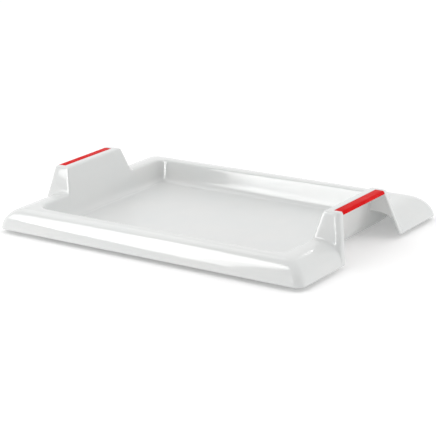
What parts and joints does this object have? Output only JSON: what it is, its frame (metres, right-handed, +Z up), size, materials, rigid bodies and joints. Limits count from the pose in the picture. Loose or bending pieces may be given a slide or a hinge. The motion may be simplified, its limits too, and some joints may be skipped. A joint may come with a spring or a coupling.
{
  "type": "serving tray",
  "caption": "Rectangular white plastic serving tray with a sunk well, a wide rolled-over rim and raised handles with red grip strips over finger openings.",
  "frame": {"origin": "middle of the flat base, on the face that stands on the table", "axes": "+X along the long side towards the right handle, +Y along the short side, +Z up out of the well"},
  "size_m": [0.46, 0.31, 0.063],
  "materials": {
    "shell_white": "glossy white injection-moulded plastic",
    "grip_red": "satin red soft-touch plastic"
  },
  "bodies": {
    "root": {"tray_shell": "shell_white", "right_grip": "grip_red", "left_grip": "grip_red"}
  },
  "joints": []
}
